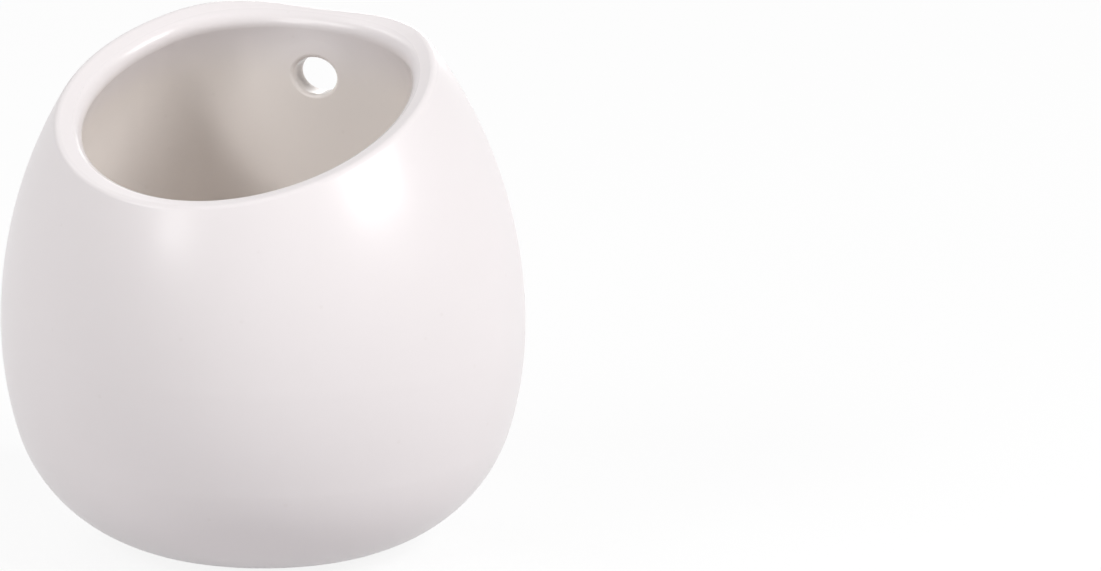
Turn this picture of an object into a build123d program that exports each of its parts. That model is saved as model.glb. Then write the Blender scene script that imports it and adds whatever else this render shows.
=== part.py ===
from build123d import *
import math
import os

# Hanging wall vase: a slip-cast clay shell with one glaze coat outside and one inside.
# The origin is the centre of the hanging hole on the wall plane. +Y points into the wall, +Z is up,
# and +X is to the right of someone who faces the vase. The round body stands in front of the wall,
# so its axis is at negative Y. All lengths are millimetres.

# round body, seen from the side: four arcs that meet tangentially
belly_diameter = 105.0
upper_radius = 91.0
lower_belly_radius = 76.4
heel_radius = 32.3
under_radius = 55.0
# how far the two lower arcs turn, in degrees
lower_belly_turn = 16.4
heel_turn = 62.0

# where the wall, the hanging hole and the foot lie on the round body
axis_to_wall = 26.7
hole_above_belly = 44.8
foot_diameter = 40.0

# rounding of the flat back into the round body, outside and inside
back_edge_radius = 16.0
inner_corner_radius = 16.0

# walls of the whole vessel, glaze included
side_wall = 6.3
back_wall = 4.4

# mouth: a wide barrel scoops it, low in front and high at the wall
mouth_front_above_belly = 35.0
mouth_back_above_belly = 59.1
mouth_lengthwise_radius = 152.0
mouth_crosswise_radius = 112.0
lip_outer_radius = 1.3
lip_inner_radius = 2.5

# hanging hole, a little wider than high so that the vase can be set level
hole_half_width = 4.8
hole_half_height = 3.8
hole_edge_radius = 0.8

# bare foot with a shallow recess, wiped clean of glaze
foot_ring_width = 4.0
foot_recess_depth = 0.8
glaze_line_above_foot = 2.5

# thickness of each glaze coat
glaze = 0.4

# the round body goes on above the mouth, and cuts run past what they cut, by this much
overrun = 8.0

belly_radius = belly_diameter / 2
belly_height = -hole_above_belly
vase_axis = Axis((0, -axis_to_wall, 0), (0, 0, 1))
axis_plane = Plane.XZ.offset(axis_to_wall)

# the lower outline ends where the under arc runs level
under_turn = 90 - lower_belly_turn - heel_turn
# the upper outline ends above the mouth, on a stretch that the mouth takes away
upper_turn = math.degrees(math.asin((mouth_back_above_belly + overrun) / upper_radius))


def side_outline(inset):
    """The round body's outline beside its axis, from floor to top, moved in by inset."""
    belly = (belly_radius - inset, belly_height)
    lower = JernArc(belly, (0, -1), lower_belly_radius - inset, -lower_belly_turn)
    heel = JernArc(lower @ 1, lower % 1, heel_radius - inset, -heel_turn)
    under = JernArc(heel @ 1, heel % 1, under_radius - inset, -under_turn)
    upper = JernArc(belly, (0, 1), upper_radius - inset, upper_turn)
    return lower, heel, under, upper


def round_body(inset):
    """The egg-shaped body before it is made flat at the back, with its surface moved in by inset."""
    with BuildPart() as body:
        with BuildSketch(axis_plane):
            with BuildLine():
                lower, heel, under, upper = side_outline(inset)
                Polyline(under @ 1, (0, (under @ 1).Y), (0, (upper @ 1).Y), upper @ 1)
            make_face()
        revolve(axis=vase_axis)
    return body.part


def body_with_back(side_inset, back_inset, edge_radius):
    """The round body cut flat at the wall, with the edge of the flat rounded by edge_radius."""
    with BuildPart() as body:
        add(round_body(side_inset))
        split(bisect_by=Plane.XZ.offset(back_inset), keep=Keep.TOP)
        back = body.faces().sort_by(Axis.Y)[-1]
        fillet(back.edges().filter_by(GeomType.LINE, reverse=True), edge_radius)
    return body.part


# the foot is cut where the bare clay's under arc has the foot's diameter
under_arc = side_outline(glaze)[2]
under_centre = under_arc.center_point
foot_drop = math.sqrt(under_arc.radius**2 - (foot_diameter / 2 - under_centre.X) ** 2)
foot_height = under_centre.Y - foot_drop
foot_plane = Plane.XY.offset(foot_height)

# the barrel passes through the front of the mouth and through its top at the wall, and lies crosswise
front_height_share = mouth_front_above_belly / upper_radius
front_radius = belly_radius - upper_radius * (1 - math.sqrt(1 - front_height_share**2))
mouth_front = Vector(0, -axis_to_wall - front_radius, belly_height + mouth_front_above_belly)
mouth_back = Vector(0, 0, belly_height + mouth_back_above_belly)
mouth_chord = mouth_back - mouth_front
mouth_rise = math.sqrt(mouth_lengthwise_radius**2 - (mouth_chord.length / 2) ** 2)
mouth_normal = mouth_chord.rotate(Axis.X, 90).normalized()
mouth_barrel_centre = (mouth_front + mouth_back) / 2 + mouth_normal * mouth_rise
mouth_barrel_half_length = belly_radius + overrun


def mouth_barrel(inset):
    """The barrel that scoops the mouth, with its surface moved out by inset."""
    bulge_radius = mouth_crosswise_radius + inset
    bulge = bulge_radius - math.sqrt(bulge_radius**2 - mouth_barrel_half_length**2)
    middle = mouth_lengthwise_radius + inset
    end = middle - bulge
    with BuildPart() as barrel:
        with BuildSketch(Plane(mouth_barrel_centre, x_dir=(1, 0, 0), z_dir=(0, -1, 0))):
            with BuildLine():
                side = ThreePointArc(
                    (-mouth_barrel_half_length, end), (0, middle), (mouth_barrel_half_length, end)
                )
                Polyline(side @ 1, (mouth_barrel_half_length, 0), (-mouth_barrel_half_length, 0), side @ 0)
            make_face()
        revolve(axis=Axis(mouth_barrel_centre, (1, 0, 0)))
    return barrel.part


def vessel(inset):
    """The whole vessel with its outer, inner and lip surfaces moved into the wall by inset."""
    with BuildPart() as vase:
        add(body_with_back(inset, inset, back_edge_radius - inset))
        split(bisect_by=foot_plane, keep=Keep.TOP)
        add(mouth_barrel(inset), mode=Mode.SUBTRACT)
        fillet(vase.edges(Select.NEW), lip_outer_radius - inset)
        hollow = body_with_back(side_wall - inset, back_wall - inset, inner_corner_radius + inset)
        add(hollow, mode=Mode.SUBTRACT)
        fillet(vase.edges(Select.NEW), lip_inner_radius - inset)
        with BuildSketch(Plane.XZ.offset(-overrun)):
            Ellipse(hole_half_width + inset, hole_half_height + inset)
        extrude(amount=overrun + back_wall + overrun, mode=Mode.SUBTRACT)
        inner_back = vase.faces().filter_by(Plane.XZ).sort_by(Axis.Y)[0]
        fillet(inner_back.inner_wires()[0].edges(), hole_edge_radius - inset)
    return vase.part


whole_vase = vessel(0)

# the fired clay lies one coat of glaze below every glazed surface and is bare under the foot, where
# an oval recess leaves a ring to stand on
clay_vessel = vessel(glaze)
foot_box = clay_vessel.faces().sort_by(Axis.Z)[0].bounding_box()
with BuildPart() as clay_body:
    add(clay_vessel)
    with BuildSketch(Plane(foot_box.center())):
        Ellipse(foot_box.size.X / 2 - foot_ring_width, foot_box.size.Y / 2 - foot_ring_width)
    extrude(amount=foot_recess_depth, mode=Mode.SUBTRACT)
clay_body.part.label = "clay_body"

# the two coats meet halfway through the wall, on the crown of the lip and at the wall end of the hole
with BuildPart() as inner_side:
    mid_corner_radius = (back_edge_radius + inner_corner_radius) / 2
    add(body_with_back(side_wall / 2, back_wall / 2, mid_corner_radius))
    with BuildSketch(Plane.XZ.offset(-overrun)):
        Ellipse(hole_half_width + glaze, hole_half_height + glaze)
    extrude(amount=overrun + back_wall)

with BuildPart() as both_coats:
    add(whole_vase)
    add(clay_vessel, mode=Mode.SUBTRACT)

with BuildPart() as outer_glaze:
    add(both_coats.part)
    add(inner_side.part, mode=Mode.SUBTRACT)
    split(bisect_by=foot_plane.offset(glaze_line_above_foot), keep=Keep.TOP)
outer_glaze.part.label = "outer_glaze"

with BuildPart() as inner_glaze:
    add(both_coats.part)
    add(inner_side.part, mode=Mode.INTERSECT)
inner_glaze.part.label = "inner_glaze"

os.makedirs("parts", exist_ok=True)
for piece in (clay_body, outer_glaze, inner_glaze):
    export_step(piece.part, f"parts/{piece.part.label}.step")
    print(piece.part.label, len(piece.part.solids()), round(piece.part.volume), piece.part.bounding_box())
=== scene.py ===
import math

import bpy
from bpy.props import FloatProperty, FloatVectorProperty, PointerProperty
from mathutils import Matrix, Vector


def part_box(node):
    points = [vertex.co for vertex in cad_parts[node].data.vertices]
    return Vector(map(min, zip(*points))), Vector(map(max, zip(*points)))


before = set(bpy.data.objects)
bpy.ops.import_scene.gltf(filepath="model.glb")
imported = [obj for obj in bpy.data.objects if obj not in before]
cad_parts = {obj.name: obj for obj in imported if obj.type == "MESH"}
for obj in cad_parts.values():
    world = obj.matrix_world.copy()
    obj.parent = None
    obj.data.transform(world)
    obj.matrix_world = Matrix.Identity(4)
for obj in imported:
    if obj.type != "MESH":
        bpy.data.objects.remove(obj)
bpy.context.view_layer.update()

bl_info = {
    "name": "Hanging wall vase",
    "version": (1, 0, 0),
    "blender": (4, 5, 0),
    "location": "3D View > Sidebar > Wall vase",
    "description": "Glazes and lights a small ceramic wall vase that hangs from a hole in its back",
    "category": "Object",
}

MM = 0.001
WHITE = (1, 1, 1, 1)
# the widest place of the round body, on its axis, which the lamps and the camera stand round
BELLY = Vector((0, -26.7, -44.8)) * MM
FOOT_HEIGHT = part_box("clay_body")[0].z
LAMP_DISTANCE = 1.3
# the slanted plane through the front and the back of the mouth: its normal, and how far up it lies
MOUTH_NORMAL = Vector((0, -0.317, 0.948))
MOUTH_LEVEL = 13.5 * MM
# how far below that plane the white of the lip ends, and the painted warm shade inside the mouth is
# full
LIP_DEPTH = 3 * MM
FULL_SHADE_DEPTH = 15 * MM


class VaseFinish(bpy.types.PropertyGroup):
    outer_colour: FloatVectorProperty(
        name="Outer glaze", description="Colour of the satin glaze outside and on the lip",
        subtype="COLOR", size=3, min=0, max=1, default=(0.84, 0.795, 0.80))
    # painted warm shade: this colour stands in for the dimmer, warmer light deep inside the mouth
    liner_shade_colour: FloatVectorProperty(
        name="Liner glaze", description="Colour of the glossier glaze well inside the mouth",
        subtype="COLOR", size=3, min=0, max=1, default=(0.88, 0.825, 0.785))
    clay_colour: FloatVectorProperty(
        name="Fired clay", description="Colour of the bare clay under the foot",
        subtype="COLOR", size=3, min=0, max=1, default=(0.66, 0.60, 0.52))
    thin_colour: FloatVectorProperty(
        name="Thin glaze", description="Tint where the waves of the glaze lie thin",
        subtype="COLOR", size=3, min=0, max=1, default=(0.74, 0.70, 0.66))
    outer_roughness: FloatProperty(
        name="Outer roughness", description="Roughness of the satin glaze",
        subtype="FACTOR", min=0, max=1, default=0.30)
    liner_roughness: FloatProperty(
        name="Liner roughness", description="Roughness of the glaze inside",
        subtype="FACTOR", min=0, max=1, default=0.22)
    ripple_size: FloatProperty(
        name="Ripple size", description="Distance between the soft waves in the glaze",
        unit="LENGTH", min=0.001, max=0.05, default=0.018)
    ripple_height: FloatProperty(
        name="Ripple height", description="Height of the soft waves in the glaze",
        unit="LENGTH", min=0, max=0.001, default=0.00004)
    dimple_share: FloatProperty(
        name="Dimple share", description="Height of the fine dimples, as a share of the waves",
        subtype="FACTOR", min=0, max=1, default=0.01)


class VaseStage(bpy.types.PropertyGroup):
    floor_colour: FloatVectorProperty(
        name="Floor", description="Colour of the floor",
        subtype="COLOR", size=3, min=0, max=1, default=(0.62, 0.61, 0.62))
    floor_radius: FloatProperty(
        name="Floor radius", description="Radius of the round floor",
        unit="LENGTH", min=0.5, max=10, default=4.0)
    right_power: FloatProperty(
        name="Right light", description="Power of the large soft lamp at the right",
        unit="POWER", min=0, max=500, default=13.1)
    left_power: FloatProperty(
        name="Left light", description="Power of the soft lamp in front, to the left",
        unit="POWER", min=0, max=500, default=5.1)
    front_power: FloatProperty(
        name="Front light", description="Power of the small lamp in front",
        unit="POWER", min=0, max=500, default=2.7)
    rear_power: FloatProperty(
        name="Rear light", description="Power of the weak lamp high behind, to the left",
        unit="POWER", min=0, max=500, default=1.6)
    back_power: FloatProperty(
        name="Back light", description="Power of the soft lamp behind, which lights the back alone",
        unit="POWER", min=0, max=500, default=3.5)
    room_light: FloatProperty(
        name="Room light", description="Strength of the even light from all round",
        min=0, max=2, default=0.2)
    camera_turn: FloatProperty(
        name="Camera turn", description="Angle of the camera to the right of the front",
        unit="ROTATION", default=math.radians(26.8))
    camera_rise: FloatProperty(
        name="Camera rise", description="Angle of the camera above the level",
        unit="ROTATION", default=math.radians(16.7))
    camera_distance: FloatProperty(
        name="Camera distance", description="Distance from the camera to the vase",
        unit="LENGTH", min=0.3, max=5, default=1.25)
    camera_lens: FloatProperty(
        name="Focal length", description="Focal length of the camera",
        unit="CAMERA", min=10, max=500, default=204.3)


def feed(tree, socket, value):
    """Links a socket to the node output that is given, or sets it to the plain value."""
    if isinstance(value, bpy.types.NodeSocket):
        tree.links.new(value, socket)
    else:
        socket.default_value = value


def add_node(tree, kind, inputs=None, **settings):
    node = tree.nodes.new(kind)
    for name, value in settings.items():
        setattr(node, name, value)
    for name, value in (inputs or {}).items():
        feed(tree, node.inputs[name], value)
    return node


def math_node(tree, operation, first, second):
    node = add_node(tree, "ShaderNodeMath", {0: first, 1: second}, operation=operation)
    return node.outputs[0]


def mixed_colour(tree, share, first, second):
    """The first colour, with the given share of the second."""
    node = add_node(
        tree, "ShaderNodeMix", {"Factor": share, "A": first, "B": second}, data_type="RGBA")
    return node.outputs["Result"]


def object_place(tree):
    return add_node(tree, "ShaderNodeTexCoord").outputs["Object"]


def clear_tree(owner):
    """The emptied node tree of a material or a world."""
    owner.use_nodes = True
    owner.node_tree.nodes.clear()
    return owner.node_tree


def new_group(name, inputs, outputs):
    """A shader node group of plain numbers: its inputs with their defaults, and its outputs."""
    tree = bpy.data.node_groups.new(name, "ShaderNodeTree")
    for label, default in inputs.items():
        socket = tree.interface.new_socket(
            name=label, in_out="INPUT", socket_type="NodeSocketFloat")
        socket.default_value = default
    for label in outputs:
        tree.interface.new_socket(name=label, in_out="OUTPUT", socket_type="NodeSocketFloat")
    return tree, tree.nodes.new("NodeGroupInput"), tree.nodes.new("NodeGroupOutput")


def place_group(tree, group, inputs):
    return add_node(tree, "ShaderNodeGroup", inputs, node_tree=group)


def glaze_waves_group():
    """The soft waves and faint dimples that a poured glaze keeps, and where it lies thinner."""
    made = bpy.data.node_groups.get("Glaze waves")
    if made:
        return made
    wave_detail, wave_roughness = 2.0, 0.4
    dimples_per_wave, dimple_detail = 14.0, 1.0
    thick, thin = 0.70, 0.30
    tree, given, result = new_group(
        "Glaze waves", {"Wave size": 0.018, "Dimple share": 0.01}, ["Height", "Thinness"])
    place = object_place(tree)
    waves_per_metre = math_node(tree, "DIVIDE", 1.0, given.outputs["Wave size"])
    waves = add_node(tree, "ShaderNodeTexNoise", {
        "Vector": place, "Scale": waves_per_metre,
        "Detail": wave_detail, "Roughness": wave_roughness}).outputs["Fac"]
    dimples_per_metre = math_node(tree, "MULTIPLY", waves_per_metre, dimples_per_wave)
    dimples = add_node(tree, "ShaderNodeTexNoise", {
        "Vector": place, "Scale": dimples_per_metre, "Detail": dimple_detail}).outputs["Fac"]
    dimple_height = math_node(tree, "MULTIPLY", dimples, given.outputs["Dimple share"])
    thinness = add_node(tree, "ShaderNodeMapRange", {
        "Value": waves, "From Min": thick, "From Max": thin}, interpolation_type="SMOOTHSTEP")
    feed(tree, result.inputs["Height"], math_node(tree, "ADD", waves, dimple_height))
    feed(tree, result.inputs["Thinness"], thinness.outputs["Result"])
    return tree


def clay_specks_group():
    """The small specks and the fine grain of a fired clay body."""
    made = bpy.data.node_groups.get("Clay specks")
    if made:
        return made
    # distances from the middle of a speck, in parts of the grain size
    speck_edge, speck_core = 0.32, 0.18
    grain_detail, grain_roughness = 4.0, 0.6
    tree, given, result = new_group(
        "Clay specks", {"Grain size": 0.0008, "Speck share": 0.1}, ["Specks", "Grain"])
    place = object_place(tree)
    grains_per_metre = math_node(tree, "DIVIDE", 1.0, given.outputs["Grain size"])
    cells = add_node(tree, "ShaderNodeTexVoronoi", {"Vector": place, "Scale": grains_per_metre})
    picked = add_node(tree, "ShaderNodeSeparateColor", {"Color": cells.outputs["Color"]})
    chosen = math_node(tree, "LESS_THAN", picked.outputs["Red"], given.outputs["Speck share"])
    near = add_node(tree, "ShaderNodeMapRange", {
        "Value": cells.outputs["Distance"], "From Min": speck_edge, "From Max": speck_core})
    grain = add_node(tree, "ShaderNodeTexNoise", {
        "Vector": place, "Scale": grains_per_metre,
        "Detail": grain_detail, "Roughness": grain_roughness})
    feed(tree, result.inputs["Specks"], math_node(tree, "MULTIPLY", chosen, near.outputs["Result"]))
    feed(tree, result.inputs["Grain"], grain.outputs["Fac"])
    return tree


def depth_in_mouth(tree):
    """0 on the lip and 1 well inside: the mask for the painted warm shade deep in the mouth."""
    level = add_node(
        tree, "ShaderNodeVectorMath", {0: object_place(tree), 1: MOUTH_NORMAL},
        operation="DOT_PRODUCT")
    depth = add_node(tree, "ShaderNodeMapRange", {
        "Value": level.outputs["Value"], "From Min": MOUTH_LEVEL - LIP_DEPTH,
        "From Max": MOUTH_LEVEL - FULL_SHADE_DEPTH}, interpolation_type="SMOOTHSTEP")
    return depth.outputs["Result"]


def glaze_material(name, colour, roughness, finish, deep_shade_colour=None):
    """White glaze over fired clay: softly waved, faintly tinted where it is thin, and with painted
    warm shade deep in the mouth when a shade colour is given.
    """
    thin_tint, gloss_spread = 0.04, 0.02
    speck_tint, speck_colour = 0.05, (0.42, 0.34, 0.26, 1)
    grain_size, speck_share = 0.0016, 0.012
    material = bpy.data.materials.new(name)
    tree = clear_tree(material)
    waves = place_group(tree, glaze_waves_group(), {
        "Wave size": finish.ripple_size, "Dimple share": finish.dimple_share})
    specks = place_group(tree, clay_specks_group(), {
        "Grain size": grain_size, "Speck share": speck_share})
    thinness = waves.outputs["Thinness"]
    glaze = (*colour, 1)
    # deep in the mouth the colour is painted warm shade, blended in below the lip
    if deep_shade_colour is not None:
        glaze = mixed_colour(tree, depth_in_mouth(tree), glaze, (*deep_shade_colour, 1))
    tinted = mixed_colour(
        tree, math_node(tree, "MULTIPLY", thinness, thin_tint), glaze, (*finish.thin_colour, 1))
    specked = mixed_colour(
        tree, math_node(tree, "MULTIPLY", specks.outputs["Specks"], speck_tint),
        tinted, speck_colour)
    gloss = add_node(tree, "ShaderNodeMapRange", {
        "Value": thinness, "To Min": roughness - gloss_spread, "To Max": roughness + gloss_spread})
    bump = add_node(tree, "ShaderNodeBump", {
        "Height": waves.outputs["Height"], "Distance": finish.ripple_height, "Strength": 1.0})
    shader = add_node(tree, "ShaderNodeBsdfPrincipled", {
        "Base Color": specked, "Roughness": gloss.outputs["Result"],
        "Normal": bump.outputs["Normal"], "IOR": 1.4})
    add_node(tree, "ShaderNodeOutputMaterial", {"Surface": shader.outputs["BSDF"]})
    return material


def clay_material(finish):
    """Bare fired clay: matt, fine-grained and a little warm."""
    darker, paler = 0.90, 1.06
    speck_tint, speck_colour = 0.5, (0.30, 0.23, 0.17, 1)
    grain_size, speck_share = 0.0007, 0.08
    grain_height = 0.00012
    least_rough, most_rough = 0.78, 0.92
    material = bpy.data.materials.new("bare_clay")
    tree = clear_tree(material)
    specks = place_group(tree, clay_specks_group(), {
        "Grain size": grain_size, "Speck share": speck_share})
    grain = specks.outputs["Grain"]
    shade = mixed_colour(
        tree, grain, (*(c * darker for c in finish.clay_colour), 1),
        (*(min(1, c * paler) for c in finish.clay_colour), 1))
    specked = mixed_colour(
        tree, math_node(tree, "MULTIPLY", specks.outputs["Specks"], speck_tint),
        shade, speck_colour)
    rough = add_node(tree, "ShaderNodeMapRange", {
        "Value": grain, "To Min": least_rough, "To Max": most_rough})
    bump = add_node(tree, "ShaderNodeBump", {
        "Height": grain, "Distance": grain_height, "Strength": 1.0})
    shader = add_node(tree, "ShaderNodeBsdfPrincipled", {
        "Base Color": specked, "Roughness": rough.outputs["Result"],
        "Normal": bump.outputs["Normal"]})
    add_node(tree, "ShaderNodeOutputMaterial", {"Surface": shader.outputs["BSDF"]})
    return material


def dress(node, material):
    """Gives every slot of a CAD node's object the material."""
    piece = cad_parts[node]
    if not piece.material_slots:
        piece.data.materials.append(material)
    for slot in piece.material_slots:
        slot.material = material
    return piece


class WALLVASE_OT_clay(bpy.types.Operator):
    """Give the fired clay body its bare, matt surface"""
    bl_idname = "wallvase.clay"
    bl_label = "Clay body"

    def execute(self, context):
        piece = dress("clay_body", clay_material(context.scene.vase_finish))
        return {"FINISHED"}


class WALLVASE_OT_outer_glaze(bpy.types.Operator):
    """Glaze the outside in satin white"""
    bl_idname = "wallvase.outer_glaze"
    bl_label = "Outer glaze"

    def execute(self, context):
        finish = context.scene.vase_finish
        piece = dress("outer_glaze", glaze_material(
            "satin_white_glaze", finish.outer_colour, finish.outer_roughness, finish))
        return {"FINISHED"}


class WALLVASE_OT_inner_glaze(bpy.types.Operator):
    """Glaze the inside and the hanging hole"""
    bl_idname = "wallvase.inner_glaze"
    bl_label = "Inner glaze"

    def execute(self, context):
        finish = context.scene.vase_finish
        # the liner is glossier, and its colour deep inside is painted warm shade
        piece = dress("inner_glaze", glaze_material(
            "liner_glaze", finish.outer_colour, finish.liner_roughness, finish,
            deep_shade_colour=finish.liner_shade_colour))
        return {"FINISHED"}


def seen_rays(tree):
    """1 for what is seen, straight or in a gloss, and 0 for light that falls on things."""
    rays = add_node(tree, "ShaderNodeLightPath").outputs
    seen = math_node(tree, "MAXIMUM", rays["Is Camera Ray"], rays["Is Glossy Ray"])
    return math_node(tree, "MAXIMUM", seen, rays["Is Transmission Ray"])


def floor_material(colour):
    """Pale floor that shows as white to the eye and in reflections, and keeps the shadow."""
    white_share = 0.88
    material = bpy.data.materials.new("pale_floor")
    tree = clear_tree(material)
    seen = seen_rays(tree)
    matt = add_node(tree, "ShaderNodeBsdfDiffuse", {
        "Color": mixed_colour(tree, seen, (*colour, 1), WHITE)})
    white = add_node(tree, "ShaderNodeEmission", {"Color": WHITE, "Strength": 1.0})
    shown = add_node(tree, "ShaderNodeMixShader", {
        0: math_node(tree, "MULTIPLY", seen, white_share),
        1: matt.outputs["BSDF"], 2: white.outputs["Emission"]})
    add_node(tree, "ShaderNodeOutputMaterial", {"Surface": shown.outputs["Shader"]})
    return material


def add_floor(stage):
    bpy.ops.mesh.primitive_circle_add(
        vertices=96, radius=stage.floor_radius, fill_type="NGON", location=(0, 0, FOOT_HEIGHT))
    floor = bpy.context.object
    floor.name = "floor"
    floor.data.materials.append(floor_material(stage.floor_colour))


def light_room(scene, room_light):
    """White all round for what is seen, and a weak even light on things."""
    scene.world = bpy.data.worlds.new("studio")
    tree = clear_tree(scene.world)
    strength = add_node(tree, "ShaderNodeMapRange", {
        "Value": seen_rays(tree), "To Min": room_light, "To Max": 1.0})
    sky = add_node(tree, "ShaderNodeBackground", {
        "Color": WHITE, "Strength": strength.outputs["Result"]})
    add_node(tree, "ShaderNodeOutputWorld", {"Surface": sky.outputs["Background"]})


def outward(turn, rise):
    """The way out from the belly, turned to the right of the front and raised above the level."""
    return Vector((
        math.sin(turn) * math.cos(rise), -math.cos(turn) * math.cos(rise), math.sin(rise)))


def add_lamp(name, power, turn, rise, width, height):
    """A white lamp that faces the belly, with its angles in degrees and its size in metres."""
    data = bpy.data.lights.new(name, "AREA")
    data.shape = "RECTANGLE"
    data.size, data.size_y = width, height
    data.energy = power
    away = outward(math.radians(turn), math.radians(rise))
    lamp = bpy.data.objects.new(name, data)
    lamp.location = BELLY + away * LAMP_DISTANCE
    lamp.rotation_euler = away.to_track_quat("Z", "Y").to_euler()
    bpy.context.scene.collection.objects.link(lamp)


def add_camera(scene, stage):
    """Camera on a long lens, turned so that the vase stands in the left half of the picture."""
    frame_width, sensor_width = 1101, 36.0
    # where the belly lies in the picture, from its centre, in its pixels
    belly_right, belly_up = -286.2, -32.8
    ahead = -outward(stage.camera_turn, stage.camera_rise)
    data = bpy.data.cameras.new("camera")
    data.sensor_width = sensor_width
    data.lens = stage.camera_lens
    data.clip_start, data.clip_end = 0.01, 50
    camera = bpy.data.objects.new("camera", data)
    camera.location = BELLY - ahead * stage.camera_distance
    focal_pixels = stage.camera_lens / sensor_width * frame_width
    belly_ray = Vector((belly_right, belly_up, -focal_pixels)).normalized()
    aside = belly_ray.rotation_difference(Vector((0, 0, -1)))
    camera.rotation_mode = "QUATERNION"
    camera.rotation_quaternion = ahead.to_track_quat("-Z", "Y") @ aside
    scene.collection.objects.link(camera)
    scene.camera = camera


class WALLVASE_OT_stage(bpy.types.Operator):
    """Set up the floor, the soft studio light and the camera"""
    bl_idname = "wallvase.stage"
    bl_label = "Studio"

    def execute(self, context):
        scene = context.scene
        stage = scene.vase_stage
        add_floor(stage)
        light_room(scene, stage.room_light)
        add_lamp("right_lamp", stage.right_power, turn=87, rise=35, width=0.60, height=0.60)
        add_lamp("left_lamp", stage.left_power, turn=-36, rise=38, width=0.60, height=0.45)
        add_lamp("front_lamp", stage.front_power, turn=-16, rise=21, width=0.30, height=0.13)
        add_lamp("rear_lamp", stage.rear_power, turn=-100, rise=50, width=0.45, height=0.45)
        add_lamp("back_lamp", stage.back_power, turn=-165, rise=15, width=0.60, height=0.60)
        scene.view_settings.view_transform = "Standard"
        add_camera(scene, stage)
        return {"FINISHED"}


class WALLVASE_PT_sidebar(bpy.types.Panel):
    """Sizes, colours and steps of the wall vase"""
    bl_idname = "WALLVASE_PT_sidebar"
    bl_label = "Wall vase"
    bl_space_type = "VIEW_3D"
    bl_region_type = "UI"
    bl_category = "Wall vase"

    def draw(self, context):
        for settings in (context.scene.vase_finish, context.scene.vase_stage):
            for name in settings.__annotations__:
                self.layout.prop(settings, name)
        for step in STEPS:
            self.layout.operator(step.bl_idname)


STEPS = (WALLVASE_OT_clay, WALLVASE_OT_outer_glaze, WALLVASE_OT_inner_glaze, WALLVASE_OT_stage)
CLASSES = (VaseFinish, VaseStage, *STEPS, WALLVASE_PT_sidebar)


def register():
    for cls in CLASSES:
        bpy.utils.register_class(cls)
    bpy.types.Scene.vase_finish = PointerProperty(type=VaseFinish)
    bpy.types.Scene.vase_stage = PointerProperty(type=VaseStage)


def unregister():
    del bpy.types.Scene.vase_stage
    del bpy.types.Scene.vase_finish
    for cls in reversed(CLASSES):
        bpy.utils.unregister_class(cls)


def main():
    register()
    bpy.ops.wallvase.clay()
    bpy.ops.wallvase.outer_glaze()
    bpy.ops.wallvase.inner_glaze()
    bpy.ops.wallvase.stage()


if __name__ == "__main__":
    main()
